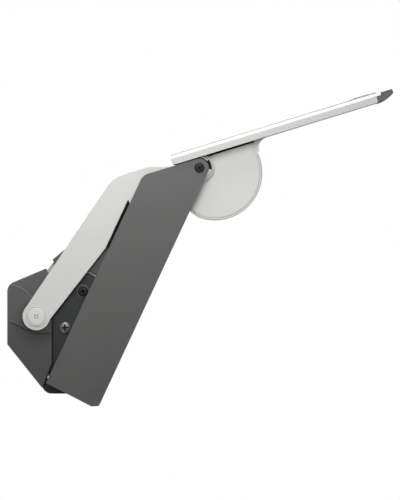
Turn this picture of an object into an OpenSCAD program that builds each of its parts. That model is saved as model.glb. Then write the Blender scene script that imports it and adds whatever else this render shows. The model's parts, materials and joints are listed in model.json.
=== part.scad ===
// Wall-mounted folding document camera.
// X points away from the wall, Y across the arm, Z up. The origin is the centre of the flat rear face.
// A parallel linkage carries the head: the dark arm turns about the arm pivot, the light link about the
// link pivot, and the carrier at the arm's far end keeps its angle while the arm lifts.

/* [Pivots] */
// Arm pivot, distance out from the wall
arm_pivot_x = 75.9; // [74:0.1:78]
// Arm pivot, height above the origin
arm_pivot_z = 26.6; // [25:0.1:28]
// Link pivot, distance out from the wall
link_pivot_x = 29.2; // [28:0.1:31]
// Link pivot, height above the origin
link_pivot_z = 1.5; // [0:0.1:3]
// Distance between the arm's two pivots
arm_len = 169.9; // [166:0.1:174]
// Angle of the line through the arm's two pivots, lowered
arm_angle = 46.7; // [45.5:0.1:48]

/* [Arm panels] */
// Angle of the panel's long edges, lowered
panel_angle = 65; // [64:0.5:66]
// Width of the panel
panel_w = 57.5; // [55:0.5:60]
// Length of the panel from the head pivot to its lower end
panel_len = 260; // [250:1:270]
// Radius of the panel's end round the head pivot
panel_end_r = 9.4; // [8:0.1:9.6]
// Radius of the panel's upper rear corner
panel_corner_r = 12; // [8:0.5:14]
// Thickness of a panel
panel_t = 2.6; // [2:0.1:3]

/* [Link] */
// Radius of the link's lower eye
link_eye_r = 13.9; // [13:0.1:14.5]
// Angle of the link's rear edge
link_angle = 56; // [55.5:0.1:56.5]
// Height of the link's flat upper edge
link_top_z = 151.4; // [150:0.1:152]
// Radius of the bend at the top of the rear edge
link_bend_r = 30; // [26:1:32]
// Angle of the sloping edge after the bend
link_slope_angle = 18; // [17:0.1:19]
// Where the sloping edge meets the flat upper edge, out from the wall
link_slope_x = 140.8; // [139:0.1:142]

/* [Base] */
// Half height of the wall plate
wall_plate_h = 22.5; // [21.5:0.5:23]
// Half width of the base shells
shell_y = 24.2; // [24:0.1:24.3]
// Wall thickness of the base shells
shell_wall = 2; // [1.6:0.1:2]
// Spacing of the wall screws across
wall_screw_dy = 26; // [24:1:28]
// Spacing of the wall screws up and down
wall_screw_dz = 37; // [36:0.5:38]
// Radius of the wall screw holes
wall_screw_r = 2.25; // [2:0.05:2.5]
// Level of the base's flat underside
base_bottom_z = -76; // [-77:0.1:-74]

/* [Head] */
// Upward tilt of the slab
head_angle = 17; // [16.5:0.1:17.5]
// Half width of the slab
slab_y = 34; // [33.8:0.1:40]
// Length of the slab ahead of the head pivot, to the joint with the tip
slab_front = 190; // [180:1:195]
// Length of the slab behind the head pivot
slab_back = 24.5; // [22:0.5:26]
// Height of the slab's underside above the head pivot
slab_under = 10.4; // [10.3:0.1:11]
// Height of the light grey tray
tray_h = 6.2; // [6:0.1:7]
// Height of the white cover
cover_h = 2.9; // [2.6:0.1:3.2]
// Length of the dark tip
tip_len = 17.3; // [16:0.1:19]
// Radius of the knuckle disc
knuckle_r = 47.5; // [46:0.5:48]
// Travel of a button
button_travel = 0.6; // [0.4:0.1:0.8]

/* [Hidden] */

$fn = 64;
e = 0.5; // how far a cutter runs past the face that it cuts

function dir(a) = [cos(a), sin(a)];
// The point where the lines v*dir(a) = da and v*dir(b) = db cross
function meet(a, da, b, db) =
    [da * sin(b) - db * sin(a), db * cos(a) - da * cos(b)] / sin(b - a);
// The corners of a convex outline given as [normal angle, distance] lines, in turn
function corners(lines) = [for (i = [0:len(lines) - 1])
    let (m = lines[i], n = lines[(i + 1) % len(lines)]) meet(m[0], m[1], n[0], n[1])];

// Colours
dark = [0.36, 0.36, 0.35];
light = [0.82, 0.82, 0.81];
black = [0.09, 0.09, 0.09];
steel = [0.62, 0.63, 0.65];
bronze = [0.66, 0.5, 0.3];
board = [0.1, 0.35, 0.2];

// Pivots of the linkage, in the XZ plane
arm_pivot = [arm_pivot_x, arm_pivot_z];
link_pivot = [link_pivot_x, link_pivot_z];
head_pivot = arm_pivot + arm_len * dir(arm_angle);
stud_pivot = head_pivot - (arm_pivot - link_pivot);

// Layers across the object: distances from the middle plane
hub_y = 16.2;
bracket_in = 16.75;
bracket_out = 19.15;
housing_in = 19.6;
housing_out = 21.6;
link_in = 24.8;
link_out = 27.4;
panel_in = 28.4;
panel_out = panel_in + panel_t;
core_y = 19;
cheek_out = 20.6;
carrier_in = 21.4;
carrier_out = 24;

// Shafts and fits
shaft_r = 6;
running = 0.05;
bush_r = 8;
thread_r = 3;

// Extrudes a flat XZ shape between two places across the object
module across(y0, y1) {
    translate([0, y1, 0]) rotate([90, 0, 0]) linear_extrude(y1 - y0) children();
}

// The same on one side (-1 left, 1 right), from y0 to y1 out from the middle
module on_side(side, y0, y1) {
    if (side < 0) across(-y1, -y0) children();
    else across(y0, y1) children();
}

module both_sides(y0, y1) {
    for (side = [-1, 1]) on_side(side, y0, y1) children();
}

module at(p) {
    translate(p) children();
}

// Flat frame of the slab: x along the slab, y square to it, origin at the head pivot
module slab_frame_2d() {
    translate(head_pivot) rotate(head_angle) children();
}

// The same frame for solids: x along, y across the object, z square to the slab
module slab_frame() {
    translate([head_pivot[0], 0, head_pivot[1]]) rotate([0, -head_angle, 0]) children();
}

// Flat frame of the panel: y along its long edges, x towards its front, origin at the head pivot
module panel_frame_2d() {
    translate(head_pivot) rotate(panel_angle - 90) children();
}

// Screw head with a cross recess, its shank along +Z, its head from z = 0 downwards
module cross_screw(head_r, head_h, shank_r, shank_len) {
    cross_w = head_r * 0.24;
    cross_l = head_r * 1.1;
    difference() {
        union() {
            translate([0, 0, -head_h * 0.6]) cylinder(r = head_r, h = head_h * 0.6);
            translate([0, 0, -head_h]) cylinder(r1 = head_r * 0.72, r2 = head_r, h = head_h * 0.4);
            cylinder(r = shank_r, h = shank_len);
        }
        for (a = [0, 90]) rotate(a)
            translate([-cross_l / 2, -cross_w / 2, -head_h - e]) cube([cross_l, cross_w, head_h * 0.5 + e]);
    }
}

// A screw on each side, its head's seat at distance y from the middle, shank pointing inwards
module screw_pair(p, y, head_r, head_h, shank_r, shank_len) {
    for (side = [-1, 1])
        translate([p[0], side * y, p[1]]) rotate([side * 90, 0, 0])
            cross_screw(head_r, head_h, shank_r, shank_len);
}

// ---------------------------------------------------------------- base

// Outline of the base shells as [normal angle, distance] lines, in turn round the shape
top_angle = 113;
top_d = 30.5;
end_angle = 38.8;
end_d = 60.4;
front_d = 44.4;
cut_angle = -21.2;
cut_d = 57.9;
chamfer_angle = -141.4;
chamfer_d = 16.5;
rear_corner_r = 10;
seam_z = -15;
seam_x = 26.3;
seam_rear_z = -2.3;
crease = [6.4, 32.6];
crease_angle = 33;
facet_tilt = 8.5;

module base_outline(inset, open) {
    rear_d = open > 0 ? e : 0;
    lines = [[180, rear_d], [top_angle, top_d - inset], [end_angle, end_d + open],
        [0, front_d + open], [cut_angle, cut_d + open], [chamfer_angle, chamfer_d - inset]];
    corner_r = rear_corner_r - inset;
    c = meet(180, rear_d - corner_r, top_angle, top_d - inset - corner_r);
    difference() {
        polygon(corners(lines));
        // round off the upper rear corner
        difference() {
            polygon([c, c + 2 * corner_r * dir(top_angle), c + 2.2 * corner_r * dir(146), c - [2 * corner_r, 0]]);
            at(c) circle(corner_r);
        }
    }
}

// A solid of the outline whose sides lean in above the crease
module base_block(inset, open) {
    half = shell_y - inset;
    difference() {
        across(-half, half) base_outline(inset, open);
        for (side = [-1, 1])
            translate([crease[0], side * half, crease[1]]) rotate([0, crease_angle, 0])
                rotate([side * facet_tilt, 0, 0])
                    translate([-100, side > 0 ? 0 : -40, -100]) cube([200, 40, 200]);
    }
}

module shell_seam(lift) {
    polygon([[-2, seam_rear_z + 0.8 + lift], [seam_x, seam_z + lift], [80, seam_z + lift],
        [80, 90], [-2, 90]]);
}

module link_pin_holes(r) {
    across(-40, 40) at(link_pivot) circle(r);
}

module base_upper_shell() {
    color(dark) difference() {
        intersection() {
            base_block(0, 0);
            across(-30, 30) shell_seam(0);
        }
        base_block(shell_wall, 9);
        link_pin_holes(5.6);
    }
}

module base_lower_shell() {
    color(dark) difference() {
        base_block(0, 0);
        across(-30, 30) shell_seam(-0.7);
        base_block(shell_wall, 9);
        for (side = [-1, 1]) shell_screw_place(side) {
            translate([0, 0, -e]) cylinder(r = 1.7, h = 6);
            translate([0, 0, -e]) cylinder(r = 3, h = shell_screw_in + e);
        }
    }
}

// On the chamfer, +Z pointing into the base
shell_screw_in = 1.5;
module shell_screw_place(side) {
    p = chamfer_d * dir(chamfer_angle) + 52 * dir(chamfer_angle + 90);
    translate([p[0], side * 10, p[1]]) rotate([0, -90 - chamfer_angle, 0]) children();
}

module shell_screws() {
    color(black) for (side = [-1, 1]) shell_screw_place(side)
        translate([0, 0, shell_screw_in]) cross_screw(2.8, 1.3, 1.5, 4);
}

wall_plate_t = 3;
module wall_plate() {
    half_y = shell_y - shell_wall - 0.3;
    color(steel) difference() {
        translate([0, -half_y, -wall_plate_h]) cube([wall_plate_t, 2 * half_y, 2 * wall_plate_h]);
        for (sy = [-1, 1], sz = [-1, 1])
            translate([-e, sy * wall_screw_dy / 2, sz * wall_screw_dz / 2]) rotate([0, 90, 0])
                cylinder(r = wall_screw_r, h = wall_plate_t + 2 * e);
    }
}

// U-shaped bridge that joins the two brackets behind the wall plate's screws
bridge_z = 12;
bridge_t = 3;
bridge_l = 18;
module bracket_bridge() {
    color(black) {
        translate([wall_plate_t, -bracket_in, -bridge_z]) cube([bridge_t, 2 * bracket_in, 2 * bridge_z]);
        for (side = [-1, 1])
            translate([wall_plate_t, side > 0 ? bracket_in - bridge_t : -bracket_in, -bridge_z])
                cube([bridge_l, bridge_t, 2 * bridge_z]);
    }
}

bracket_top_r = 18.8;
lower_screw = [57.7, -9.9];
module bracket(side) {
    color(black) difference() {
        union() {
            on_side(side, bracket_in, bracket_out) polygon([[wall_plate_t, -20], [wall_plate_t, 20], [44, 24],
                [arm_pivot_x - bracket_top_r + 0.1, arm_pivot_z + 1], arm_pivot + [0, 8],
                [arm_pivot_x + bracket_top_r - 0.1, arm_pivot_z - 1], [91, -20], [78, base_bottom_z],
                [44.5, base_bottom_z], [40.6, base_bottom_z + 0.6], [37.7, base_bottom_z + 2.6], [35.25, -70.4],
                [36.6, -66.9], [33, -61], [7, -31]]);
            on_side(side, bracket_in, bracket_out) at(arm_pivot) circle(bracket_top_r);
        }
        on_side(side, bracket_in - e, bracket_out + e) {
            at(arm_pivot) circle(shaft_r);
            at(link_pivot) circle(pin_r);
            at(lower_screw) circle(thread_r);
        }
    }
}

module bracket_left() {
    bracket(-1);
}

module bracket_right() {
    bracket(1);
}

// Folded plate: flat underside with the sockets, then up along the inside of the chamfer
usb_x = 50;
power_x = 66;
module bottom_cover() {
    t = 2;
    fold = [41, base_bottom_z];
    inner = chamfer_d - shell_wall - 0.1;
    knee = meet(chamfer_angle, inner, 270, -base_bottom_z);
    upper = inner * dir(chamfer_angle) + 38 * dir(chamfer_angle + 90);
    lift = t * dir(chamfer_angle + 180);
    inner_knee = meet(chamfer_angle, inner - t, 270, -base_bottom_z - t);
    color(black) difference() {
        across(-bracket_in, bracket_in)
            polygon([upper, knee, [77.5, fold[1]], [77.9, fold[1] + t], inner_knee, upper + lift]);
        translate([usb_x - 1.7, -4.7, base_bottom_z - e]) cube([3.4, 9.4, t + 2 * e]);
        translate([power_x, 0, base_bottom_z - e]) cylinder(r = 4, h = t + 2 * e);
        for (side = [-1, 1]) shell_screw_place(side) translate([0, 0, -1]) cylinder(r = 1.5, h = 8);
    }
}

module pivot_shaft() {
    color(steel) difference() {
        across(-bracket_out, bracket_out) at(arm_pivot) circle(shaft_r);
        both_sides(bracket_out - 12, bracket_out + e) at(arm_pivot) circle(thread_r);
    }
}

module arm_pivot_screws() {
    color(black) {
        both_sides(bracket_out, bracket_out + 0.8) at(arm_pivot) difference() {
            circle(6.8);
            circle(thread_r + 0.2);
        }
        screw_pair(arm_pivot, bracket_out + 0.8, 5.2, 2.6, thread_r, 11);
    }
}

module bracket_screws() {
    color([0.48, 0.48, 0.48]) screw_pair(lower_screw, bracket_out, 6.3, 2.6, thread_r, 8);
}

pin_r = 5;
module link_pins() {
    color(steel) both_sides(bracket_in - 3, link_out + 0.1) at(link_pivot) circle(pin_r);
}

// Domed caps over the link's eyes, with a small cross recess
module link_pivot_caps() {
    cap_r = 10.3;
    cap_h = 2;
    color(light) for (side = [-1, 1])
        translate([link_pivot[0], side * (link_out + 0.1), link_pivot[1]]) rotate([-side * 90, 0, 0])
            difference() {
                union() {
                    cylinder(r = cap_r, h = cap_h * 0.6);
                    translate([0, 0, cap_h * 0.6]) cylinder(r1 = cap_r, r2 = cap_r - 1.6, h = cap_h * 0.4);
                }
                for (a = [20:90:290]) rotate(a) translate([1.7, 0, cap_h * 0.4]) cylinder(r = 0.75, h = cap_h);
            }
}

board_z = -62;
module connector_board() {
    color(board) translate([44, -14, board_z]) cube([31, 28, 1.6]);
}

module usb_socket() {
    h = board_z - base_bottom_z - 0.4;
    color(steel) translate([usb_x, 0, board_z - h]) difference() {
        translate([-1.6, -4.5, 0]) cube([3.2, 9, h]);
        translate([-1.3, -4.2, -e]) cube([2.6, 8.4, 7]);
    }
    color(black) translate([usb_x - 0.35, -3.35, board_z - h + 0.8]) cube([0.7, 6.7, 5.8]);
}

module power_socket() {
    h = board_z - base_bottom_z - 2.2;
    color(black) translate([power_x, 0, board_z - h]) difference() {
        translate([-4.8, -4.8, 0]) cube([9.6, 9.6, h]);
        translate([0, 0, -e]) cylinder(r = 3.2, h = 9.5);
    }
    color(steel) translate([power_x, 0, board_z - h + 0.6]) cylinder(r = 1, h = 9);
}

// ---------------------------------------------------------------- arm

drum_r = 41.6;
boss_r = 16;
spring_pocket_r = 14.5;
spring_pocket_y = 8;
neck_y = 25.9;
lip_r = 20.85;

// Wedge between two angles round the arm pivot
module wedge(a0, a1, r) {
    far = 1.5 * r;
    mid = (a0 + a1) / 2;
    at(arm_pivot) intersection() {
        circle(r);
        polygon([[0, 0], far * dir(a0), far * dir(mid), far * dir(a1)]);
    }
}

module arm_hub() {
    color(light) difference() {
        union() {
            // lips that close the slits between brackets and housing
            both_sides(hub_y - 1, bracket_out - 0.05) difference() {
                wedge(36, 84, lip_r);
                at(arm_pivot) circle(bracket_top_r + 0.2);
            }
            across(-hub_y, hub_y) {
                wedge(34, 176, drum_r);
                at(arm_pivot) circle(boss_r);
                at(arm_pivot) polygon([[0, -12], [30, -14], [30, 16], [6, 14]]);
            }
            across(-neck_y, neck_y) at(arm_pivot) polygon([[24, -14], [53, -14], [58, 8], [42, 34], [24, 14]]);
        }
        // hollow under the drum's rim, open at its rear end
        across(-13.4, 13.4) difference() {
            wedge(66, 185, drum_r - 2.8);
            at(arm_pivot) circle(boss_r + 2);
        }
        across(-hub_y - e, hub_y + e) at(arm_pivot) circle(bush_r);
        across(-spring_pocket_y, spring_pocket_y) at(arm_pivot) circle(spring_pocket_r);
        hub_screw_holes();
    }
}

hub_screw_spots = [[44, -6], [44, 12]];
hub_screw_r = 1.5;
module hub_screw_holes() {
    for (p = hub_screw_spots) both_sides(neck_y - 8, neck_y + e) at(arm_pivot + p) circle(hub_screw_r);
}

// Countersunk screws through the spine's flanges into the hub's neck
module hub_screws() {
    head_r = 2.9;
    head_h = 1.4;
    color(steel) for (p = hub_screw_spots, side = [-1, 1])
        translate([arm_pivot[0] + p[0], side * (panel_in - 0.05), arm_pivot[1] + p[1]])
            rotate([side * 90, 0, 0]) difference() {
                union() {
                    cylinder(r1 = head_r, r2 = hub_screw_r, h = head_h);
                    cylinder(r = hub_screw_r, h = panel_in - neck_y + 7);
                }
                for (a = [0, 90]) rotate(a) translate([-1.6, -0.35, -e]) cube([3.2, 0.7, 0.7 + e]);
            }
}

module hub_bushes() {
    color(bronze) both_sides(spring_pocket_y, hub_y) at(arm_pivot) difference() {
        circle(bush_r);
        circle(shaft_r + running);
    }
}

module friction_washers() {
    color(steel) both_sides(hub_y, bracket_in - running) at(arm_pivot) difference() {
        circle(boss_r - 1);
        circle(shaft_r + 0.3);
    }
}

// Torsion spring wound round the pivot shaft: rings of wire along a helix
spring_turns = 5;
spring_r = 10.6;
spring_wire = 1;
spring_rings = 16;
spring_sides = 8;
function spring_point(i, j) =
    let (a = 360 * i / spring_rings, b = 360 * j / spring_sides, r = spring_r + spring_wire * cos(b),
        pitch = 2.6, y = (i / spring_rings - spring_turns / 2) * pitch + spring_wire * sin(b))
    [arm_pivot[0] + r * cos(a), y, arm_pivot[1] + r * sin(a)];
module lift_spring() {
    last = spring_turns * spring_rings;
    side = [for (i = [0:last - 1], j = [0:spring_sides - 1])
        let (k = (j + 1) % spring_sides, n = spring_sides)
        [i * n + j, (i + 1) * n + j, (i + 1) * n + k, i * n + k]];
    ends = [[for (j = [0:spring_sides - 1]) j],
        [for (j = [spring_sides - 1:-1:0]) last * spring_sides + j]];
    color(steel) polyhedron(
        [for (i = [0:last], j = [0:spring_sides - 1]) spring_point(i, j)], concat(ends, side));
}

// Housing over the hub: two cheeks joined by a skin
housing_angle = 130;
tail_angle = 204;
tail_d = -65.2;
housing_r = 44;
module housing_outline(inset) {
    pivot_d = arm_pivot * dir(housing_angle);
    polygon(corners([
        [tail_angle, tail_d + (inset > 0 ? 5 : 0)],
        [housing_angle, pivot_d + housing_r - inset],
        [40, 167 - inset],
        [panel_angle - 90, head_pivot * dir(panel_angle - 90) - panel_w + panel_end_r + 6 + (inset > 0 ? 6 : 0)],
        [-50, -pivot_d - 3 + (inset > 0 ? 6 : 0)]]));
}

module hub_housing() {
    color(dark) difference() {
        across(-housing_out, housing_out) housing_outline(0);
        across(-housing_in, housing_in) housing_outline(shell_wall);
        across(-30, 30) at(arm_pivot) circle(21);
        across(-30, 30) at(arm_pivot) polygon([[20, -30], [24.5, -18], [24.5, 14], [40, 40], [80, 40], [80, -30]]);
    }
}

// Panel outline, in the panel's own frame
panel_back = panel_w - panel_end_r;
top_edge = head_angle + 90 - (panel_angle - 90);
module panel_outline() {
    k = meet(top_edge, panel_end_r - panel_corner_r, 180, panel_back - panel_corner_r);
    union() {
        circle(panel_end_r);
        at(k) circle(panel_corner_r);
        polygon([panel_end_r * dir(top_edge), k + panel_corner_r * dir(top_edge),
            k + panel_corner_r * dir(180), [-panel_back, -panel_len], [3, -panel_len - 2],
            [panel_end_r, -panel_len + 1.4], [panel_end_r, 0]]);
    }
}

screw_shoulder_r = 4;
module arm_panel(side) {
    color(dark) difference() {
        on_side(side, panel_in, panel_out) panel_frame_2d() difference() {
            panel_outline();
            circle(screw_shoulder_r + running);
        }
        on_side(side, panel_in - e, panel_in + 1.6) panel_frame_2d()
            for (p = spine_screws) at(p) circle(1.5);
    }
}

module arm_panel_left() {
    arm_panel(-1);
}

module arm_panel_right() {
    arm_panel(1);
}

// Channel between the panels: two flanges and a web near the front
spine_top = -72;
spine_bottom = -250;
spine_in = neck_y + 0.1;
web_x = 3;
web_t = 2.2;
spine_screws = [for (y = [-88, -185, -214, -242]) [-8, y]];
module arm_spine() {
    color(black) difference() {
        union() {
            both_sides(spine_in, panel_in) panel_frame_2d()
                polygon([[-40, spine_bottom + 70], [-40, -118], [-22, spine_top], [web_x + web_t, spine_top],
                    [web_x + web_t, spine_bottom], [-16, spine_bottom]]);
            across(-panel_in, panel_in) panel_frame_2d()
                translate([web_x, spine_bottom]) square([web_t, spine_top - spine_bottom]);
        }
        both_sides(spine_in - e, panel_in + e) panel_frame_2d() for (p = spine_screws) at(p) circle(1.5);
        for (p = hub_screw_spots) {
            both_sides(spine_in - e, panel_in + e) at(arm_pivot + p) circle(hub_screw_r);
            for (side = [-1, 1])
                translate([arm_pivot[0] + p[0], side * panel_in, arm_pivot[1] + p[1]])
                    rotate([side * 90, 0, 0]) cylinder(r1 = 3, r2 = hub_screw_r, h = 1.5);
        }
    }
}

module front_cover() {
    cover_t = 2.2;
    color(dark) across(-panel_in, panel_in) panel_frame_2d()
        translate([panel_end_r - cover_t - 0.1, -panel_len + 4]) square([cover_t, panel_len - 4 - 66]);
}

module bottom_cap() {
    color(dark) across(-panel_in, panel_in) panel_frame_2d()
        polygon([[-5, -panel_len - 1.4], [3, -panel_len - 1.7], [panel_end_r - 0.3, -panel_len + 1.5],
            [panel_end_r - 0.3, -panel_len + 4], [-5, -panel_len + 0.8]]);
}

module panel_screws() {
    color(steel) {
        for (p = spine_screws, side = [-1, 1]) {
            a = panel_angle - 90;
            c = head_pivot + p[0] * dir(a) + p[1] * dir(a + 90);
            translate([c[0], side * spine_in, c[1]]) rotate([-side * 90, 0, 0]) cross_screw(2.7, 1.3, 1.5, 3.8);
        }
    }
}

// Flat signal cable along the spine's web
module signal_cable() {
    color([0.75, 0.75, 0.72]) across(-7, 7) panel_frame_2d()
        translate([web_x - 0.9, -150]) square([0.5, 76]);
}

// ---------------------------------------------------------------- link

// Plate from the lower eye up beside the panel's edge, then under the panel to the carrier's stud
link_edge_angle = 52;
link_edge_r = 12.6;
link_stud_r = 4;
link_brow_r = 25;
rear_n = link_angle + 90;
rear_d = link_pivot * dir(rear_n) + link_eye_r;
slope_n = link_slope_angle + 90;
slope_d = [link_slope_x, link_top_z] * dir(slope_n);
bend = meet(rear_n, rear_d - link_bend_r, slope_n, slope_d - link_bend_r);
brow = meet(slope_n, slope_d - link_brow_r, 90, link_top_z - link_brow_r);
module link_plate(side) {
    neck = meet(link_edge_angle - 90, link_pivot * dir(link_edge_angle - 90) + link_edge_r,
        panel_angle - 90, head_pivot * dir(panel_angle - 90) - panel_back - 3);
    armpit = neck + 61.5 * dir(panel_angle);
    color(light) difference() {
        union() {
            on_side(side, link_in, link_out) at(link_pivot) circle(link_eye_r);
            on_side(side, link_in, link_out) at(stud_pivot) circle(11);
            on_side(side, link_in, link_out) at(brow) circle(link_brow_r, $fn = 128);
            // cap of the bend's circle, which keeps it out of the arm's spine
            intersection() {
                on_side(side, link_in, link_out) at(bend) circle(link_bend_r, $fn = 128);
                on_side(side, link_in - e, link_out + e) at(bend) rotate((rear_n + slope_n) / 2)
                    translate([0.72 * link_bend_r, -60]) square([60, 120]);
            }
            on_side(side, link_in, link_out)
                polygon([link_pivot + (link_eye_r - 0.05) * dir(rear_n), bend + (link_bend_r - 0.05) * dir(rear_n),
                    bend + (link_bend_r - 0.05) * dir(slope_n), brow + (link_brow_r - 0.03) * dir(slope_n),
                    brow + (link_brow_r - 0.03) * dir(90), [161, link_top_z],
                    [163, link_top_z - 3], stud_pivot + 10.9 * dir(0), stud_pivot + 10.9 * dir(-90),
                    stud_pivot + [-14, -7], armpit, neck, link_pivot + link_edge_r * dir(link_edge_angle - 90)]);
        }
        on_side(side, link_in - e, link_out + e) {
            at(link_pivot) circle(pin_r + 2);
            at(stud_pivot) circle(link_stud_r + 0.3);
        }
    }
}

module link_left() {
    link_plate(-1);
}

module link_right() {
    link_plate(1);
}

// Solid behind the link's rear edge, bend and sloping edge, all set in by a wall
module link_back(inset, half) {
    r = link_bend_r - inset;
    across(-half, half) at(bend) circle(r, $fn = 128);
    across(-half, half) polygon([bend, bend + r * dir(slope_n), bend + r * dir(slope_n) + 60 * dir(link_slope_angle),
        bend + [60, -60], bend + r * dir(rear_n) - 130 * dir(link_angle), bend + r * dir(rear_n)]);
}

// Curved cover joining the two plates, clear of the hub housing below and of the knuckle in front
cover_start_z = 82;
cover_end_x = 133;
module link_cover() {
    color(light) intersection() {
        difference() {
            link_back(0, link_in);
            link_back(2.2, link_in + e);
        }
        translate([40, -40, cover_start_z]) cube([cover_end_x - 40, 80, 100]);
    }
}

module link_bushes() {
    color(bronze) both_sides(link_in, link_out) at(link_pivot) difference() {
        circle(pin_r + 1.98);
        circle(pin_r + running);
    }
}

// ---------------------------------------------------------------- carrier

carrier_eye_r = 14.5;
module carrier(side) {
    span = stud_pivot - head_pivot;
    a = atan2(span[1], span[0]);
    lean = asin((carrier_eye_r - 10) / norm(span));
    r0 = carrier_eye_r - 0.1;
    r1 = 9.9;
    color(light) difference() {
        union() {
            on_side(side, carrier_in, carrier_out) at(head_pivot) circle(carrier_eye_r);
            on_side(side, carrier_in, carrier_out) at(stud_pivot) circle(10);
            on_side(side, carrier_in, carrier_out)
                polygon([head_pivot + r0 * dir(a + 90 - lean), stud_pivot + r1 * dir(a + 90 - lean),
                    stud_pivot + 5 * dir(a), stud_pivot + r1 * dir(a - 90 + lean),
                    head_pivot + r0 * dir(a - 90 + lean), head_pivot - 8 * dir(a)]);
        }
        on_side(side, carrier_in - e, carrier_out + e) {
            at(head_pivot) circle(shaft_r);
            at(stud_pivot) circle(link_stud_r);
        }
    }
}

module carrier_left() {
    carrier(-1);
}

module carrier_right() {
    carrier(1);
}

module tilt_shaft() {
    color(steel) difference() {
        across(-panel_in + 0.1, panel_in - 0.1) at(head_pivot) circle(shaft_r);
        both_sides(14, panel_in) at(head_pivot) circle(2.5);
    }
}

module link_studs() {
    color(steel) {
        both_sides(carrier_in, link_out + 0.1) at(stud_pivot) circle(link_stud_r);
        both_sides(link_out + 0.1, link_out + 0.8) at(stud_pivot) circle(6.5);
    }
}

module pivot_spacers() {
    color(black) both_sides(carrier_out, panel_in - 0.1) difference() {
        at(head_pivot) circle(12.3);
        at(head_pivot) circle(shaft_r);
    }
}

module head_pivot_screws() {
    color(black) {
        both_sides(panel_in - 0.1, panel_out + 0.1) at(head_pivot) circle(screw_shoulder_r);
        screw_pair(head_pivot, panel_out + 0.1, 5.3, 2.2, 2.5, 12);
    }
}

// ---------------------------------------------------------------- head

disc = [13.4, -9.3];
disc_cut_angle = -142;
disc_cut_d = 45.9;
cheek_r = knuckle_r - 2.5;

// Knuckle disc: a circle with a flat top and a slightly flattened lower rear side
module disc_outline(r, top, trim) {
    intersection() {
        at(disc) circle(r, $fn = 128);
        at(disc) rotate(disc_cut_angle) translate([-80, -80]) square([80 + disc_cut_d - trim, 160]);
        translate([-slab_back + 1, -80]) square([160, 80 + top]);
    }
}

flare_r = 11;
module knuckle_core() {
    flare_x = 62.4;
    color(light) difference() {
        across(-core_y, core_y) slab_frame_2d() union() {
            disc_outline(knuckle_r, slab_under - 1.8, 0);
            difference() {
                translate([-slab_back + 4, -2]) square([flare_x + flare_r + slab_back - 4, slab_under + 2]);
                at([flare_x + flare_r, slab_under - flare_r - 0.4]) circle(flare_r);
                translate([flare_x - 1.6, -3]) square([30, slab_under - flare_r + 2.6]);
            }
        }
        across(-core_y - e, core_y + e) at(head_pivot) circle(bush_r);
    }
}

module knuckle_cheek(side) {
    color(light) difference() {
        on_side(side, core_y, cheek_out) slab_frame_2d() disc_outline(cheek_r, slab_under - 1.8, 2.5);
        on_side(side, core_y - e, cheek_out + e) at(head_pivot) circle(bush_r);
    }
}

module knuckle_cheek_left() {
    knuckle_cheek(-1);
}

module knuckle_cheek_right() {
    knuckle_cheek(1);
}

module tilt_bushes() {
    color(bronze) both_sides(6, cheek_out) at(head_pivot) difference() {
        circle(bush_r);
        circle(shaft_r + running);
    }
}

module friction_discs() {
    color(steel) both_sides(cheek_out + running, carrier_in) at(head_pivot) difference() {
        circle(9.2);
        circle(shaft_r);
    }
}

tray_top = slab_under + tray_h;
cover_top = tray_top + cover_h;
plate_t = 0.9;
plate_top = cover_top + plate_t;
led_window = [64, 150];
head_screw_spots = [for (s = [22, 86, 150], y = [-28, 28]) [s, y]];

module slab_box(s0, s1, half, t0, t1) {
    translate([s0, -half, t0]) cube([s1 - s0, 2 * half, t1 - t0]);
}

cap_l = 5;
module head_tray() {
    wall = 1.8;
    color(light) slab_frame() difference() {
        slab_box(-slab_back + cap_l, slab_front, slab_y, slab_under, tray_top);
        slab_box(-slab_back + cap_l + wall, slab_front + e, slab_y - wall, slab_under + 1.6, tray_top + e);
        // slots that the carrier's eyes and the spacers turn in
        for (side = [-1, 1]) translate([0, side * (carrier_in + panel_in) / 2, 0])
            slab_box(-17, 12, (panel_in - carrier_in) / 2 + 0.5, slab_under - e, slab_under + 2);
        slab_box(led_window[0], led_window[1], 11, slab_under - e, slab_under + 2);
        for (p = head_screw_spots) translate([p[0], p[1], slab_under - e]) cylinder(r = 2.6, h = e + 1);
        for (p = head_screw_spots) translate([p[0], p[1], slab_under]) cylinder(r = 1.35, h = 4);
    }
}

// Cap on the slab's rear end, slanted, with a rounded lower edge
module rear_end_cap() {
    edge_r = 2.2;
    color(light) {
        across(-slab_y, slab_y) slab_frame_2d()
            polygon([[-slab_back + cap_l, slab_under], [-slab_back + cap_l, tray_top], [-slab_back, tray_top],
                [-slab_back + 0.45, slab_under + edge_r], [-slab_back + 0.4 + edge_r, slab_under + 0.05]]);
        across(-slab_y, slab_y) slab_frame_2d()
            at([-slab_back + 0.4 + edge_r, slab_under + edge_r]) circle(edge_r);
    }
}

module head_cover() {
    color([0.96, 0.96, 0.95]) slab_frame() difference() {
        union() {
            slab_box(-slab_back, slab_front + 4.8, slab_y, tray_top, cover_top);
            for (p = head_screw_spots)
                translate([p[0], p[1], slab_under + 1.6]) cylinder(r = 3, h = tray_h - 1.6 + e);
        }
        for (p = head_screw_spots) translate([p[0], p[1], slab_under]) cylinder(r = 1.25, h = tray_h);
        for (y = button_spots) translate([button_s, y, tray_top - e]) button_hole(0.3, cover_h + 2 * e);
    }
}

module top_plate() {
    color([0.55, 0.55, 0.55]) slab_frame() difference() {
        slab_box(-slab_back + 1, slab_front + 1, slab_y - 1, cover_top, plate_top);
        for (y = button_spots) translate([button_s, y, cover_top - e]) button_hole(0.3, plate_t + 2 * e);
    }
}

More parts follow.
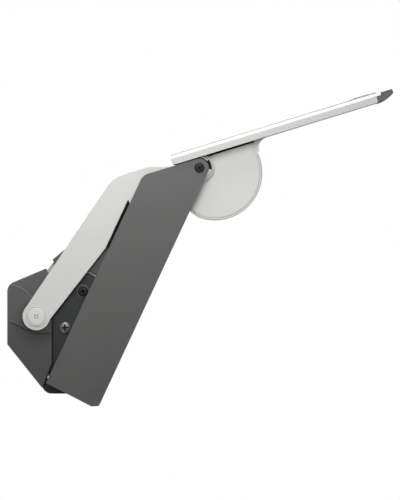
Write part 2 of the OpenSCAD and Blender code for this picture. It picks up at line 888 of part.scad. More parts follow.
// Light board under the cover, its lamps facing down through the diffuser
module light_board() {
    z = slab_under + 3.6;
    color([0.9, 0.9, 0.88]) slab_frame() translate([0, 0, z]) {
        slab_box(led_window[0], led_window[1], 9, 0, 1.2);
        for (i = [0:7], y = [-4, 4])
            translate([led_window[0] + 6 + i * 10, y - 1.4, -0.8]) cube([2.8, 2.8, 0.8]);
    }
}

module light_diffuser() {
    color([0.95, 0.96, 0.98]) slab_frame()
        slab_box(led_window[0] + 0.1, led_window[1] - 0.1, 10.9, slab_under + 0.1, slab_under + 1.6);
}

lens_s = slab_front + 6.6;
lens_r = 4.4;
tip_under_r = 26;
module tip_outline() {
    s0 = slab_front + 0.2;
    s1 = slab_front + tip_len;
    difference() {
        polygon([[s0, slab_under - 0.4], [s1, slab_under - 0.4], [s1, cover_top - 0.4],
            [slab_front + 5, cover_top - 0.4], [slab_front + 5, tray_top - 0.1], [s0, tray_top - 0.1]]);
        // the underside curves up towards the front
        difference() {
            translate([s0 + 2, slab_under - 2]) square([30, tip_under_r]);
            at([s0 + 2, slab_under - 0.4 + tip_under_r]) circle(tip_under_r, $fn = 128);
            translate([s0, slab_under + 5]) square([40, 30]);
        }
    }
}

module tip_housing() {
    color(dark) difference() {
        across(-slab_y, slab_y) slab_frame_2d() tip_outline();
        slab_frame() {
            translate([lens_s, 0, slab_under - 2]) cylinder(r = lens_r, h = 6.4);
            slab_box(slab_front - e, lens_s + 6.4, 12, slab_under + 4, tray_top - 0.6);
        }
    }
}

module lens_barrel() {
    color(black) slab_frame() translate([lens_s, 0, slab_under + 2]) difference() {
        cylinder(r = lens_r, h = 1.6);
        translate([0, 0, -e]) cylinder(r = 2.6, h = 1.6 + 2 * e);
    }
}

module lens_window() {
    color([0.6, 0.7, 0.8, 0.4]) slab_frame() translate([lens_s, 0, slab_under + 1.4]) cylinder(r = lens_r, h = 0.6);
}

module camera_board() {
    color(board) slab_frame() {
        slab_box(lens_s - 7.5, lens_s + 6, 11.5, slab_under + 4.5, tray_top - 0.8);
        slab_box(lens_s - 2.4, lens_s + 2.4, 2.4, slab_under + 3.7, slab_under + 4.6);
    }
}

button_s = slab_front - 14.5;
button_l = 16;
button_w = 9;
button_spots = [-13, 0, 13];
button_top = plate_top + 0.9;
bezel_t = 0.5;

// Rounded slot along the slab, centred on the origin
module button_hole(gap, h) {
    r = button_w / 2 + gap;
    for (x = [-1, 1]) translate([x * (button_l - button_w) / 2, 0, 0]) cylinder(r = r, h = h);
    translate([-(button_l - button_w) / 2, -r, 0]) cube([button_l - button_w, 2 * r, h]);
}

module button(y) {
    color([0.3, 0.3, 0.3]) slab_frame() translate([button_s, y, 0]) {
        translate([0, 0, tray_top - 0.6]) button_hole(0, button_top - tray_top + 0.6);
        translate([0, 0, tray_top - 1.2]) button_hole(0.9, 0.8);
    }
}

module button_left() {
    button(button_spots[0]);
}

module button_middle() {
    button(button_spots[1]);
}

module button_right() {
    button(button_spots[2]);
}

module key_bezel() {
    color([0.25, 0.25, 0.25]) slab_frame() difference() {
        slab_box(button_s - 14.5, button_s + 14.5, 21, plate_top, plate_top + bezel_t);
        for (y = button_spots) translate([button_s, y, plate_top - e]) button_hole(0.3, bezel_t + 2 * e);
    }
}

module key_board() {
    z = tray_top - 1.2 - button_travel - 0.3;
    color(board) slab_frame() slab_box(button_s - 11, button_s + 9, 24, z - 1, z);
}

module head_screws() {
    color(steel) slab_frame() for (p = head_screw_spots)
        translate([p[0], p[1], slab_under + 1]) cross_screw(2.3, 0.9, 1.25, 4.4);
}

wall_plate();
base_upper_shell();
base_lower_shell();
bracket_left();
bracket_right();
bracket_bridge();
bottom_cover();
pivot_shaft();
arm_pivot_screws();
bracket_screws();
link_pins();
link_pivot_caps();
connector_board();
usb_socket();
power_socket();
shell_screws();
arm_hub();
hub_housing();
hub_bushes();
friction_washers();
lift_spring();
arm_spine();
arm_panel_left();
arm_panel_right();
front_cover();
bottom_cap();
hub_screws();
panel_screws();
signal_cable();
link_left();
link_right();
link_cover();
link_bushes();
carrier_left();
carrier_right();
tilt_shaft();
link_studs();
pivot_spacers();
head_pivot_screws();
knuckle_core();
knuckle_cheek_left();
knuckle_cheek_right();
tilt_bushes();
friction_discs();
head_tray();
rear_end_cap();
head_cover();
top_plate();
light_board();
light_diffuser();
tip_housing();
lens_barrel();
lens_window();
camera_board();
key_board();
key_bezel();
button_left();
button_middle();
button_right();
head_screws();
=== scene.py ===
# Looks for the wall-mounted folding document camera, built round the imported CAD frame. Metres, Z up.
import bpy
import bmesh
import json
import math
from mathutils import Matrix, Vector


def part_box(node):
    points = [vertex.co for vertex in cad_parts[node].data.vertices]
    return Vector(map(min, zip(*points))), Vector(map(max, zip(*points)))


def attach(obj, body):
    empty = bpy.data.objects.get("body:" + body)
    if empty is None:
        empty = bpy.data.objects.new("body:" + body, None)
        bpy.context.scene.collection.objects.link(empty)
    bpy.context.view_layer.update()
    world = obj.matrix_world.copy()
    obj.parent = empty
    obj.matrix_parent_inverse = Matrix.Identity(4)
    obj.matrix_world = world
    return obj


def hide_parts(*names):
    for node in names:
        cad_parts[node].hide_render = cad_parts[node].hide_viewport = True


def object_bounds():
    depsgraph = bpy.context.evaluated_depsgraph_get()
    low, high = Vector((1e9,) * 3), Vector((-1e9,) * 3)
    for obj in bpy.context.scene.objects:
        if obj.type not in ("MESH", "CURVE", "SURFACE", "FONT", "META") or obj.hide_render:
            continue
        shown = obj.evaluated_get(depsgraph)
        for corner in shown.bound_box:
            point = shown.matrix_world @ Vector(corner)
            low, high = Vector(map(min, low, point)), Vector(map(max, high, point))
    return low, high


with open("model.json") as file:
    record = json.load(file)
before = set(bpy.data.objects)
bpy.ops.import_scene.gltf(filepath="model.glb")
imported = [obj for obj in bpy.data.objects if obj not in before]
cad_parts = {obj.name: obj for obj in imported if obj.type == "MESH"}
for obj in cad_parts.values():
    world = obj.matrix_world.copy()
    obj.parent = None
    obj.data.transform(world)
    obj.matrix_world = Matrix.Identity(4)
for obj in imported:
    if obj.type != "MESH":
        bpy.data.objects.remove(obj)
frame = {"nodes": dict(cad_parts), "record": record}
cad_low, cad_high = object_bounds()
MM = 0.001
scene = bpy.context.scene
scene.view_settings.view_transform = "Standard"
scene.view_settings.look = "None"

# ------------------------------------------------------------------ materials


def srgb(v):
    """Linear value of an sRGB level from 0 to 255."""
    c = v / 255
    return c / 12.92 if c <= 0.04045 else ((c + 0.055) / 1.055) ** 2.4


def colour(r, g, b):
    return (srgb(r), srgb(g), srgb(b), 1)


def new_material(name):
    m = bpy.data.materials.new(name)
    m.use_nodes = True
    tree = m.node_tree
    tree.nodes.clear()
    out = tree.nodes.new("ShaderNodeOutputMaterial")
    shader = tree.nodes.new("ShaderNodeBsdfPrincipled")
    tree.links.new(shader.outputs[0], out.inputs["Surface"])
    return m, tree, shader


def link(tree, a, b):
    tree.links.new(a, b)


def noise(tree, scale, detail, rough):
    coord = tree.nodes.new("ShaderNodeTexCoord")
    n = tree.nodes.new("ShaderNodeTexNoise")
    n.inputs["Scale"].default_value = scale
    n.inputs["Detail"].default_value = detail
    n.inputs["Roughness"].default_value = rough
    link(tree, coord.outputs["Object"], n.inputs["Vector"])
    return n.outputs["Fac"]


def ramp(tree, value, low, high, a, b):
    """Colours a to b as value goes from low to high."""
    r = tree.nodes.new("ShaderNodeValToRGB")
    r.color_ramp.elements[0].position = low
    r.color_ramp.elements[0].color = a
    r.color_ramp.elements[1].position = high
    r.color_ramp.elements[1].color = b
    link(tree, value, r.inputs["Fac"])
    return r.outputs["Color"]


def spread(tree, value, low, high, a, b):
    """Numbers a to b as value goes from low to high."""
    r = tree.nodes.new("ShaderNodeMapRange")
    r.inputs["From Min"].default_value = low
    r.inputs["From Max"].default_value = high
    r.inputs["To Min"].default_value = a
    r.inputs["To Max"].default_value = b
    link(tree, value, r.inputs["Value"])
    return r.outputs["Result"]


def bump(tree, shader, height, strength, distance):
    b = tree.nodes.new("ShaderNodeBump")
    b.inputs["Strength"].default_value = strength
    b.inputs["Distance"].default_value = distance
    link(tree, height, b.inputs["Height"])
    link(tree, b.outputs["Normal"], shader.inputs["Normal"])


def shade(c, f):
    return (c[0] * f, c[1] * f, c[2] * f, 1)


def painted_shade_round(tree, value, spot):
    """The colour value with painted shade, darker round a place. spot is its x and z, the radii in mm where
    the shade starts to fade and is gone, and how dark it is at the middle."""
    x, z, near, far, dark = spot
    coord = tree.nodes.new("ShaderNodeTexCoord")
    shift = tree.nodes.new("ShaderNodeVectorMath")
    shift.operation = "SUBTRACT"
    shift.inputs[1].default_value = (x * MM, 0, z * MM)
    flat = tree.nodes.new("ShaderNodeVectorMath")
    flat.operation = "MULTIPLY"
    flat.inputs[1].default_value = (1, 0, 1)
    size = tree.nodes.new("ShaderNodeVectorMath")
    size.operation = "LENGTH"
    link(tree, coord.outputs["Object"], shift.inputs[0])
    link(tree, shift.outputs["Vector"], flat.inputs[0])
    link(tree, flat.outputs["Vector"], size.inputs[0])
    mix = tree.nodes.new("ShaderNodeMix")
    mix.data_type = "RGBA"
    mix.blend_type = "MULTIPLY"
    mix.inputs[0].default_value = 1
    link(tree, value, mix.inputs[6])
    fade = spread(tree, size.outputs["Value"], near * MM, far * MM, 0, 1)
    link(tree, ramp(tree, fade, 0, 1, (dark, dark, dark, 1), (1, 1, 1, 1)), mix.inputs[7])
    return mix.outputs[2]


BLOTCH = 18
GRAIN_STRENGTH = 0.6


def finish_of(name, base, vary, rough, grain, grain_depth, metallic=0.0, specular=0.5, spot=None):
    """A surface with soft colour variation, a fine grain in the bump and a varying roughness. A spot adds
    painted shade round a place.
    """
    m, tree, shader = new_material(name)
    shader.inputs["Metallic"].default_value = metallic
    shader.inputs["Specular IOR Level"].default_value = specular
    wide = noise(tree, BLOTCH, 3, 0.5)
    fine = noise(tree, grain, 2, 0.6)
    value = ramp(tree, wide, 0.3, 0.7, shade(base, 1 - vary), shade(base, 1 + vary))
    link(tree, painted_shade_round(tree, value, spot) if spot else value, shader.inputs["Base Color"])
    link(tree, spread(tree, wide, 0.3, 0.7, rough[0], rough[1]), shader.inputs["Roughness"])
    bump(tree, shader, fine, GRAIN_STRENGTH, grain_depth * MM)
    return m


# painted shadow on the base round the link's eye: x, z, inner and outer radius in mm, and darkness
EYE_PAINTED_SHADOW = (31.5, -5, 12, 28, 0.42)
MATERIALS = {name: finish_of(name, *look, **more) for name, look, more in [
    # moulded and painted surfaces
    ("dark_shell", (colour(70, 70, 69), 0.04, (0.5, 0.6), 900, 0.02), {}),
    # these three shell finishes carry the painted shadow round the link's eye
    ("dark_shell_up", (colour(71, 71, 70), 0.04, (0.5, 0.6), 900, 0.02), {"spot": EYE_PAINTED_SHADOW}),
    ("dark_shell_low", (colour(60, 60, 59), 0.04, (0.5, 0.6), 900, 0.02), {"spot": EYE_PAINTED_SHADOW}),
    # a darker copy of the shell finish for the faces above the crease: painted shade
    ("dark_shell_facet_painted_shade", (colour(62, 62, 61), 0.04, (0.5, 0.6), 900, 0.02), {"spot": EYE_PAINTED_SHADOW}),
    # lighter than the shell, for the crease ridge: painted highlight
    ("crease", (colour(84, 84, 83), 0.04, (0.45, 0.55), 900, 0.02), {}),
    ("dark_panel", (colour(76, 76, 75), 0.03, (0.42, 0.52), 900, 0.02), {}),
    ("light_paint", (colour(194, 194, 192), 0.012, (0.42, 0.5), 600, 0.01), {}),
    ("light_plastic", (colour(198, 198, 196), 0.012, (0.4, 0.5), 600, 0.01), {}),
    ("tray_plastic", (colour(188, 188, 186), 0.012, (0.45, 0.55), 600, 0.01), {}),
    ("hub_paint", (colour(164, 164, 162), 0.02, (0.45, 0.55), 600, 0.01), {}),
    ("white_cover", (colour(246, 246, 245), 0.008, (0.25, 0.32), 600, 0.008), {}),
    ("grey_plate", (colour(158, 158, 158), 0.03, (0.4, 0.5), 900, 0.01), {}),
    ("tip_plastic", (colour(82, 82, 81), 0.04, (0.42, 0.52), 2200, 0.02), {}),
    ("key_plastic", (colour(58, 58, 58), 0.05, (0.42, 0.52), 2200, 0.02), {}),
    ("rubber_black", (colour(14, 14, 14), 0.1, (0.7, 0.8), 1500, 0.03), {"specular": 0.2}),
    ("socket_plastic", (colour(26, 26, 26), 0.08, (0.4, 0.5), 1800, 0.02), {}),
    ("diffuser", (colour(238, 240, 242), 0.01, (0.3, 0.4), 3000, 0.01), {}),
    ("cable", (colour(200, 200, 194), 0.05, (0.4, 0.5), 1500, 0.02), {}),
    ("board", (colour(24, 92, 54), 0.1, (0.3, 0.45), 700, 0.03), {}),
    # metals
    ("black_steel", (colour(25, 27, 27), 0.06, (0.4, 0.5), 1800, 0.02), {}),
    ("black_screw", (colour(36, 36, 36), 0.1, (0.5, 0.6), 1500, 0.01), {"specular": 0.25}),
    ("washer_grey", (colour(66, 67, 67), 0.06, (0.35, 0.45), 1500, 0.01), {}),
    # near white, for the stop pin and its tab: painted glint
    ("pin_metal_painted_glint", (colour(235, 235, 235), 0.03, (0.3, 0.4), 900, 0.005), {"metallic": 0.4}),
    ("grey_screw", (colour(112, 112, 112), 0.06, (0.3, 0.45), 1500, 0.01), {"metallic": 0.6}),
    # near black for the walls of cut recesses and holes: painted shade
    ("recess_painted_shade", (colour(4, 4, 4), 0.1, (0.6, 0.7), 1500, 0.01), {"specular": 0.1}),
    ("steel", (colour(196, 197, 200), 0.05, (0.22, 0.36), 900, 0.01), {"metallic": 1.0}),
    ("bronze", (colour(176, 140, 92), 0.08, (0.35, 0.5), 2600, 0.03), {"metallic": 1.0}),
]}


def glass_material():
    m, tree, shader = new_material("lens_glass")
    shader.inputs["Base Color"].default_value = colour(40, 48, 66)
    shader.inputs["Transmission Weight"].default_value = 0.5
    shader.inputs["Coat Weight"].default_value = 1.0
    shader.inputs["Coat Roughness"].default_value = 0.02
    rough = noise(tree, 60, 2, 0.5)
    link(tree, spread(tree, rough, 0.3, 0.7, 0.02, 0.05), shader.inputs["Roughness"])
    return m


MATERIALS["lens_glass"] = glass_material()

# ------------------------------------------------------------------ shapes

SLOT = {s["node"]: s["material_slot"] for s in frame["record"]["subparts"]}
BODY = {n: b for b, ns in frame["record"]["behaviour"]["bodies"].items() for n in ns}
HEAD_ANGLE = math.radians(17)
PANEL_ANGLE = 65
SHARP_ANGLE = math.radians(32)


def centre_of(node):
    low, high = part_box(node)
    return (low + high) / 2


def head_point(s, y, t):
    """A place in the slab's own frame: s along it, y across, t square to it, in mm from the head pivot."""
    c = centre_of("tilt_shaft")
    return Vector((c.x + (s * math.cos(HEAD_ANGLE) - t * math.sin(HEAD_ANGLE)) * MM, y * MM,
                   c.z + (s * math.sin(HEAD_ANGLE) + t * math.cos(HEAD_ANGLE)) * MM))


def along_slab(p):
    """How far along the slab a place is, in mm from the head pivot."""
    c = centre_of("tilt_shaft")
    return ((p.x - c.x) * math.cos(HEAD_ANGLE) + (p.z - c.z) * math.sin(HEAD_ANGLE)) / MM


def direction(degrees):
    return Vector((math.cos(math.radians(degrees)), math.sin(math.radians(degrees))))


def as_mesh(name, bm, material):
    mesh = bpy.data.meshes.new(name)
    bm.to_mesh(mesh)
    bm.free()
    mesh.materials.append(material)
    return mesh


def add(name, shape, slot, body, *nodes, material=None):
    """A piece from a bmesh or mesh: smooth but for its sharp edges, on its body, standing for CAD nodes."""
    mesh = shape if isinstance(shape, bpy.types.Mesh) else as_mesh(name, shape, MATERIALS[material or slot])
    mesh.shade_smooth()
    mesh.set_sharp_from_angle(angle=SHARP_ANGLE)
    o = bpy.data.objects.new(name, mesh)
    scene.collection.objects.link(o)
    weighted = o.modifiers.new("weighted", "WEIGHTED_NORMAL")
    weighted.keep_sharp = True
    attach(o, body)
    if nodes:
        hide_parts(*nodes)
    return o


def clean_copy(node):
    """The CAD node's mesh as flat faces, without the triangles inside them."""
    bm = bmesh.new()
    bm.from_mesh(frame["nodes"][node].data)
    bmesh.ops.remove_doubles(bm, verts=bm.verts, dist=2e-6)
    bmesh.ops.dissolve_limit(bm, angle_limit=math.radians(0.4), verts=bm.verts, edges=bm.edges)
    return bm


def dressed(node, width, segments=2, angle=28, choose=None, material=None):
    """A copy of the CAD node with rounded edges."""
    bm = clean_copy(node)
    edges = [e for e in bm.edges if len(e.link_faces) == 2 and e.calc_face_angle(0) > math.radians(angle)]
    if choose:
        edges = [e for e in edges if choose(e)]
    bmesh.ops.bevel(bm, geom=edges, offset=width * MM, offset_type="OFFSET", segments=segments,
                    profile=0.5, affect="EDGES", clamp_overlap=True, loop_slide=True)
    return add(node + "_look", bm, SLOT[node], BODY[node], node, material=material)


def skin(rings, closed_path):
    """Faces between rings of points, capped at the ends where the path is open."""
    bm = bmesh.new()
    rows = [[bm.verts.new(p) for p in ring] for ring in rings]
    n = len(rows[0])
    spans = len(rows) if closed_path else len(rows) - 1
    for i in range(spans):
        a, b = rows[i], rows[(i + 1) % len(rows)]
        for j in range(n):
            k = (j + 1) % n
            bm.faces.new((a[j], a[k], b[k], b[j]))
    if not closed_path:
        bm.faces.new(rows[0])
        bm.faces.new(rows[-1])
    bmesh.ops.remove_doubles(bm, verts=bm.verts, dist=1e-6)
    bmesh.ops.dissolve_degenerate(bm, edges=bm.edges, dist=1e-7)
    bmesh.ops.recalc_face_normals(bm, faces=bm.faces)
    return bm


def turned(centre, side, base, profile, a0=0, a1=360, steps=64):
    """A solid turned round an axis across the object, on side -1 or 1. The profile is a closed run of
    (radius, height) pairs in mm, its heights outwards from base."""
    full = a1 - a0 == 360
    rings = []
    for i in range(steps if full else steps + 1):
        d = direction(a0 + (a1 - a0) * i / steps)
        rings.append([(centre.x + r * MM * d.x, side * (base + h) * MM, centre.z + r * MM * d.y)
                      for r, h in profile])
    return skin(rings, full)


def prism(outline, side, inner, outer):
    """A flat (x, z) outline in mm, run across the object from inner to outer, on side -1 or 1."""
    return skin([[(x * MM, side * h * MM, z * MM) for x, z in outline] for h in (inner, outer)], False)


def tube(points, radius, sides):
    """A rod along points, its ends rounded off."""
    pts = [Vector(p) for p in points]
    first, last = (pts[0] - pts[1]).normalized() * radius, (pts[-1] - pts[-2]).normalized() * radius
    pts = [pts[0] + first, pts[0] + first * 0.6, *pts, pts[-1] + last * 0.6, pts[-1] + last]
    sizes = [0.05, 0.75] + [1] * (len(pts) - 4) + [0.75, 0.05]
    rings = []
    for i, p in enumerate(pts):
        forward = (pts[min(i + 1, len(pts) - 1)] - pts[max(i - 1, 0)]).normalized()
        u = forward.orthogonal().normalized() if i == 0 else (u - forward * u.dot(forward)).normalized()
        v = forward.cross(u)
        rings.append([p + radius * sizes[i] * (math.cos(a) * u + math.sin(a) * v)
                      for a in (2 * math.pi * k / sides for k in range(sides))])
    return skin(rings, False)


def carved(name, bm, tools, outside, inside):
    """A mesh of bm with the tools cut out of it. The walls of the cuts have their own material."""
    solid = bpy.data.objects.new("solid", as_mesh("solid", bm, MATERIALS[outside]))
    scene.collection.objects.link(solid)
    spare = [solid]
    for tool in tools:
        o = bpy.data.objects.new("tool", as_mesh("tool", tool, MATERIALS[inside]))
        scene.collection.objects.link(o)
        spare.append(o)
        cut = solid.modifiers.new("cut", "BOOLEAN")
        cut.object = o
        cut.solver = "EXACT"
        cut.material_mode = "TRANSFER"
    mesh = bpy.data.meshes.new_from_object(solid.evaluated_get(bpy.context.evaluated_depsgraph_get()))
    mesh.name = name
    for o in spare:
        old = o.data
        bpy.data.objects.remove(o)
        bpy.data.meshes.remove(old)
    return mesh


def cross_tools(centre, side, top, reach, half_width, depth, turn):
    """The two blades of a screwdriver's tapered cross, cut down from top by depth, in mm."""
    tools = []
    for a in (turn, turn + 90):
        d = direction(a)
        rings = []
        for h, f in ((top - depth, 0.5), (top + 1, 1.1)):
            rings.append([(centre.x + (x * reach * f * d.x - y * half_width * f * d.y) * MM, side * h * MM,
                           centre.z + (x * reach * f * d.y + y * half_width * f * d.x) * MM)
                          for x, y in ((-1, -1), (1, -1), (1, 1), (-1, 1))])
        tools.append(skin(rings, False))
    return tools


def dome(r, h):
    """The closed profile of a pan head of radius r and height h."""
    return [(0, h), (0.3 * r, 0.985 * h), (0.55 * r, 0.93 * h), (0.75 * r, 0.82 * h), (0.9 * r, 0.6 * h),
            (0.975 * r, 0.36 * h), (r, 0.1 * h), (0.985 * r, 0), (0, 0)]


def screw_head(name, node, side, base, r, h, outside, turn):
    """A pan head of radius r and height h with a real cross recess, in place of the CAD node. The recess
    walls are near black: painted shade.
    """
    c = centre_of(node)
    blades = cross_tools(c, side, base + h, 0.66 * r, 0.14 * r, 0.62 * h, turn)
    mesh = carved(name, turned(c, side, base, dome(r, h), steps=48), blades, outside, "recess_painted_shade")
    return add(name, mesh, SLOT[node], BODY[node], node)


SIDES = (("left", -1), ("right", 1))

# ------------------------------------------------------------------ CAD nodes, with rounded edges

for n, o in frame["nodes"].items():
    o.data.materials.clear()
    o.data.materials.append(MATERIALS[SLOT[n]])

for n, width in {
    "arm_panel_left": 0.7, "arm_panel_right": 0.7, "front_cover": 0.5, "bottom_cap": 0.4,
    "hub_housing": 0.5,
    "link_left": 0.6, "link_right": 0.6, "link_cover": 0.5,
    "bracket_left": 0.35, "bracket_right": 0.35, "bracket_bridge": 0.3, "bottom_cover": 0.3,
    "carrier_left": 0.4, "carrier_right": 0.4, "arm_spine": 0.3, "wall_plate": 0.3,
    "knuckle_core": 0.3, "knuckle_cheek_left": 0.35, "knuckle_cheek_right": 0.35,
    "head_cover": 0.45, "top_plate": 0.2, "tip_housing": 0.5,
    "key_bezel": 0.2, "button_left": 0.3, "button_middle": 0.3, "button_right": 0.3,
    "link_studs": 0.2, "usb_socket": 0.15, "power_socket": 0.2,
}.items():
    dressed(n, width)

dressed("base_lower_shell", 0.5, material="dark_shell_low")
dressed("arm_hub", 0.5, material="hub_paint")

# the upper shell's faces that lean in above its crease get a darker copy of its finish: painted shade
shell = dressed("base_upper_shell", 0.5, material="dark_shell_up").data
shell.materials.append(MATERIALS["dark_shell_facet_painted_shade"])
for face in shell.polygons:
    if abs(face.normal.y) > 0.9 and face.normal.z > 0.05:
        face.material_index = 1

# the tray and its end cap share a hidden joint, so the edges there stay sharp
TRAY_JOINT = -19.5
joint = along_slab(head_point(TRAY_JOINT, 0, 0))
for n in ("head_tray", "rear_end_cap"):
    dressed(n, 0.4, choose=lambda e: not all(abs(along_slab(v.co) - joint) < 0.05 for v in e.verts),
            material="tray_plastic")

# ------------------------------------------------------------------ base

shell_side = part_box("base_lower_shell")[1].y / MM
for side_name, side in SIDES:
    # the soft ridge along the crease, lighter than the shell: a painted highlight on a real ridge
    y = side * (shell_side - 0.62) * MM
    add("crease_ridge_" + side_name,
        tube([(x * MM, y - side * drop * MM, z * MM) for x, z, drop in (
            (4.2, 33.2, 0.6), (7.5, 32.2, 0.12), (12.0, 30.3, 0), (16.6, 27.7, 0), (20.6, 24.6, 0),
            (24.0, 21.0, 0.05), (27.0, 17.0, 0.5))], 1.15 * MM, 16),
        "dark_shell", "base", material="crease")
    # black strip in the seam: painted shade where the gap lies in shadow
    gap = [(0.4, -1.6), (26.35, -15.1), (44.2, -15.1), (44.2, -15.65), (26.2, -15.65), (0.4, -2.15)]
    add("seam_shade_strip_" + side_name, prism(gap, side, shell_side - 1.6, shell_side - 0.3),
        "rubber_black", "base")
    # black strip between the shells' front edge and the bracket: painted shadow along that edge
    lip = [(44.5, 14), (45.5, 14), (45.5, -45.4), (37.2, -67.5), (36.3, -67.1), (44.5, -45.6)]
    add("front_edge_shade_strip_" + side_name, prism(lip, side, shell_side - 4.9, shell_side - 0.9),
        "rubber_black", "base")

# ------------------------------------------------------------------ screws and caps

bracket_face = -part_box("bracket_left")[0].y / MM
head_screw_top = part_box("head_pivot_screws")[1].y / MM
washer_h = 0.8
pivot = centre_of("arm_pivot_screws")
head_pivot = centre_of("head_pivot_screws")
for side_name, side in SIDES:
    ring = [(3.1, 0), (3.1, washer_h), (6.1, washer_h), (6.6, 0.65), (6.8, 0.35), (6.8, 0)]
    add("arm_pivot_washer_" + side_name, turned(pivot, side, bracket_face, ring), "black_screw", "base",
        material="washer_grey")
    screw_head("arm_pivot_screw_" + side_name, "arm_pivot_screws", side, bracket_face + washer_h, 5.2, 2.6,
               "black_screw", 12)
    screw_head("bracket_screw_" + side_name, "bracket_screws", side, bracket_face, 6.2, 2.6, "grey_screw", 4)
    screw_head("head_pivot_screw_" + side_name, "head_pivot_screws", side, head_screw_top - 2.2, 5.1, 2.2,
               "black_screw", 28)

    # cap over the link's eye: a disc in a flat rim, with four small holes for its driver, their walls near
    # black as painted shade
    c = centre_of("link_pivot_caps")
    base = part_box("link_pivot_caps")[1].y / MM - 2
    cap = [(0, 1.98), (5, 1.95), (7.4, 1.86), (8.3, 1.66), (8.65, 1.3), (8.75, 0.7), (9.15, 0.55),
           (9.3, 0.95), (9.9, 1.05), (10.2, 0.9), (10.3, 0.5), (10.3, 0), (0, 0)]
    holes = []
    for dx, dz in ((-1.3, 1.2), (1.2, 1.5), (1.4, -1.0), (-1.1, -1.4)):
        spot = Vector((c.x + dx * MM, 0, c.z + dz * MM))
        holes.append(turned(spot, side, base, [(0, 0.7), (0.55, 0.9), (0.66, 2.4), (0, 2.4)], steps=16))
    name = "link_cap_" + side_name
    add(name, carved(name, turned(c, side, base, cap, steps=96), holes, "light_plastic", "recess_painted_shade"),
        SLOT["link_pivot_caps"], BODY["link_pivot_caps"], "link_pivot_caps")

    # collar between carrier and panel: black over the top as painted shadow, light below as painted light
    collar_in = 24.05
    collar_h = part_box("pivot_spacers")[1].y / MM - collar_in
    for part, a0, a1, r, material in (("black", -8, 176, 12.3, "rubber_black"),
                                      ("light", -184, -8, 11.9, "light_plastic")):
        section = [(6.2, 0), (6.2, collar_h), (r - 0.6, collar_h), (r - 0.15, collar_h - 0.2),
                   (r, collar_h - 0.6), (r, 0)]
        add(f"pivot_collar_{part}_{side_name}", turned(head_pivot, side, collar_in, section, a0, a1, 40),
            SLOT["pivot_spacers"], BODY["pivot_spacers"], "pivot_spacers", material=material)

    # painted highlight on the black collar: a light band over the top of the panel's round end
    band = [(10.5, collar_h - 1), (10.5, collar_h + 0.1), (10.7, collar_h + 0.2), (11.5, collar_h + 0.2),
            (11.7, collar_h + 0.1), (11.7, collar_h - 1)]
    add("pivot_collar_highlight_" + side_name, turned(head_pivot, side, collar_in, band, 42, 84, 16),
        SLOT["pivot_spacers"], BODY["pivot_spacers"], "pivot_spacers", material="light_plastic")

    # black strip on the arm, behind the gap between the link's edge and the panel's: painted shade
    strip = [(-52, -111), (-46, -111), (-45, -109.5), (-45, -56), (-46.5, -54.3), (-51.5, -54.3), (-53, -56),
             (-53, -109.5)]
    across_panel, along_panel = direction(PANEL_ANGLE - 90), direction(PANEL_ANGLE)
    origin = Vector((head_pivot.x, head_pivot.z))
    edge = [origin + (across_panel * u + along_panel * v) * MM for u, v in strip]
    add("gap_shade_strip_" + side_name,
        skin([[(q.x, side * h * MM, q.y) for q in edge] for h in (21.7, 24.3)], False), "rubber_black", "arm")

    # stop pin at the lower front of the base, on its small tab, in near-white metal as a painted glint
    pin_x, pin_z = 40.7, -59.8
    for name, points, r in (("stop_pin_", ((pin_x, 21.6, pin_z), (pin_x, 21.6, pin_z + 3.4)), 1.0),
                            ("stop_tab_", ((pin_x, bracket_face, pin_z), (pin_x, 22, pin_z)), 1.1)):
        add(name + side_name, tube([(x * MM, side * y * MM, z * MM) for x, y, z in points], r * MM, 16),
            "steel", "base", material="pin_metal_painted_glint")

# ------------------------------------------------------------------ knuckle and slab

KNUCKLE = Vector((13.4, -9.3))
KNUCKLE_R, CUT_ANGLE, CUT_D = 47.5, -142, 45.9
half_cut = math.degrees(math.acos(CUT_D / KNUCKLE_R))


def rim_path():
    """The disc's outline, from the flare round to the cut side: its places, and how far a step outwards
    moves each."""
    last = CUT_ANGLE + half_cut
    path = [(KNUCKLE + KNUCKLE_R * direction(a), direction(a))
            for a in (7.4 + (last - 7.4) * i / 60 for i in range(60))]
    n, m = direction(last), direction(CUT_ANGLE)
    corner = KNUCKLE + KNUCKLE_R * n
    path.append((corner, (n + m) / (1 + n.dot(m))))
    path += [(corner + direction(CUT_ANGLE - 90) * d, m) for d in (6, 12, 18)]
    return path


for side_name, side in SIDES:
    # rim bead round the disc, a fine groove apart from the cheek
    bead = [(-2.2, 18.8), (-2.2, 20.1), (-2.0, 20.4), (-1.1, 20.5), (-0.5, 20.2), (-0.12, 19.6),
            (-0.06, 18.8)]
    rings = []
    for p, out in rim_path():
        rings.append([head_point(p.x + d * out.x, side * y, p.y + d * out.y) for d, y in bead])
    add("knuckle_rim_" + side_name, skin(rings, False), SLOT["knuckle_core"], "head")
    # black strip between disc and slab: painted shade in the gap
    pad = [(-9, 8.66), (59.5, 8.66), (60.3, 9.5), (60, 10.34), (-9, 10.34)]
    add("slab_shade_strip_" + side_name,
        skin([[head_point(s, side * y, t) for s, t in pad] for y in (19.02, 20.9)], False),
        "rubber_black", "head")

# ------------------------------------------------------------------ stage, light, camera

middle = (cad_low + cad_high) / 2
FLOOR_DROP, FLOOR_RADIUS = 0.36, 2.4


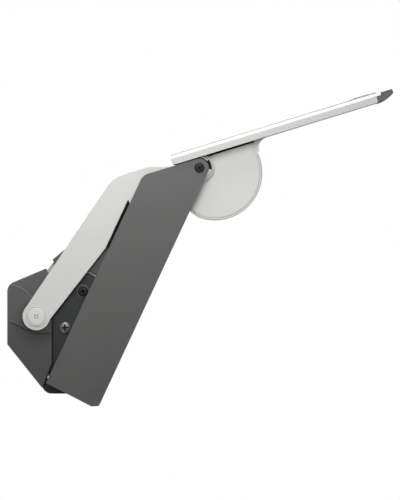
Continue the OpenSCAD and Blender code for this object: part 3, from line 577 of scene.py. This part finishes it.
def floor_material():
    """Pale floor that fades into the white round it, and can't be seen from below."""
    m, tree, shader = new_material("floor_finish")
    wide = noise(tree, 2, 2, 0.5)
    pale = ramp(tree, wide, 0.3, 0.7, colour(248, 248, 248), colour(252, 252, 252))
    link(tree, pale, shader.inputs["Base Color"])
    link(tree, spread(tree, wide, 0.3, 0.7, 0.8, 0.9), shader.inputs["Roughness"])
    bump(tree, shader, noise(tree, 300, 2, 0.5), 0.3, 0.02 * MM)
    shader.inputs["Specular IOR Level"].default_value = 0.1
    # only what the camera sees of the floor is lifted to white, so it lights nothing
    coord = tree.nodes.new("ShaderNodeTexCoord")
    far = tree.nodes.new("ShaderNodeVectorMath")
    far.operation = "LENGTH"
    link(tree, coord.outputs["Object"], far.inputs[0])
    white = tree.nodes.new("ShaderNodeEmission")
    sight = tree.nodes.new("ShaderNodeLightPath")
    fade = tree.nodes.new("ShaderNodeMath")
    fade.operation = "MULTIPLY"
    link(tree, spread(tree, far.outputs["Value"], 0.35, 2.0, 0.3, 1.0), fade.inputs[0])
    link(tree, sight.outputs["Is Camera Ray"], fade.inputs[1])
    lifted = tree.nodes.new("ShaderNodeMixShader")
    link(tree, fade.outputs[0], lifted.inputs["Fac"])
    link(tree, shader.outputs[0], lifted.inputs[1])
    link(tree, white.outputs[0], lifted.inputs[2])
    clear = tree.nodes.new("ShaderNodeBsdfTransparent")
    under = tree.nodes.new("ShaderNodeNewGeometry")
    seen = tree.nodes.new("ShaderNodeMixShader")
    link(tree, under.outputs["Backfacing"], seen.inputs["Fac"])
    link(tree, lifted.outputs[0], seen.inputs[1])
    link(tree, clear.outputs[0], seen.inputs[2])
    link(tree, seen.outputs[0], tree.nodes["Material Output"].inputs["Surface"])
    return m


def floor():
    bm = bmesh.new()
    bmesh.ops.create_circle(bm, cap_ends=True, segments=96, radius=FLOOR_RADIUS)
    mesh = as_mesh("floor", bm, floor_material())
    o = bpy.data.objects.new("floor", mesh)
    scene.collection.objects.link(o)
    o.location = (middle.x, 0, cad_low.z - FLOOR_DROP)


floor()

world = bpy.data.worlds.new("studio")
scene.world = world
world.use_nodes = True
tree = world.node_tree
seen = tree.nodes["Background"]
seen.inputs["Color"].default_value = (1, 1, 1, 1)
seen.inputs["Strength"].default_value = 1.0
# the white that the camera sees is brighter than the soft light it gives, which comes more from above
glow = tree.nodes.new("ShaderNodeBackground")
coord = tree.nodes.new("ShaderNodeTexCoord")
split = tree.nodes.new("ShaderNodeSeparateXYZ")
link(tree, coord.outputs["Generated"], split.inputs["Vector"])
height = spread(tree, split.outputs["Z"], -1, 1, 0, 1)
link(tree, ramp(tree, height, 0.2, 0.9, (0.1, 0.1, 0.1, 1), (0.34, 0.34, 0.34, 1)), glow.inputs["Color"])
path = tree.nodes.new("ShaderNodeLightPath")
mix = tree.nodes.new("ShaderNodeMixShader")
link(tree, path.outputs["Is Camera Ray"], mix.inputs["Fac"])
link(tree, glow.outputs[0], mix.inputs[1])
link(tree, seen.outputs[0], mix.inputs[2])
link(tree, mix.outputs[0], tree.nodes["World Output"].inputs["Surface"])


def area(name, at, aim, size, power):
    data = bpy.data.lights.new(name, "AREA")
    data.shape = "RECTANGLE"
    data.size, data.size_y = size
    data.energy = power
    o = bpy.data.objects.new(name, data)
    scene.collection.objects.link(o)
    o.location = at
    o.rotation_mode = "QUATERNION"
    o.rotation_quaternion = (Vector(aim) - Vector(at)).to_track_quat("-Z", "Y")
    return o


aim = (middle.x, 0, middle.z)
area("key", (0.1, -0.58, 0.36), (0.13, 0, 0.14), (0.4, 0.35), 3.2)
area("high", (0.02, -0.26, 0.72), (0.09, 0, 0), (0.3, 0.2), 1.2)
area("far_side", (0.1, 0.65, 0.45), (0.13, 0, 0.1), (0.6, 0.5), 3)
area("top", (0.15, -0.1, 1.3), aim, (1.2, 0.8), 4)
area("front", (1.3, 0.1, 0.6), aim, (0.8, 0.8), 0.8)

# a long lens a good way off, so that the view is nearly parallel
CAMERA_DISTANCE = 5.5556
camera_data = bpy.data.cameras.new("camera")
camera_data.lens = 400
camera_data.sensor_width = 36
camera = bpy.data.objects.new("camera", camera_data)
scene.collection.objects.link(camera)
camera.location = (0.193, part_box("arm_panel_left")[0].y - CAMERA_DISTANCE, 0.068)
camera.rotation_euler = (math.pi / 2, 0, 0)
camera_data.clip_start, camera_data.clip_end = 0.1, 50
scene.camera = camera
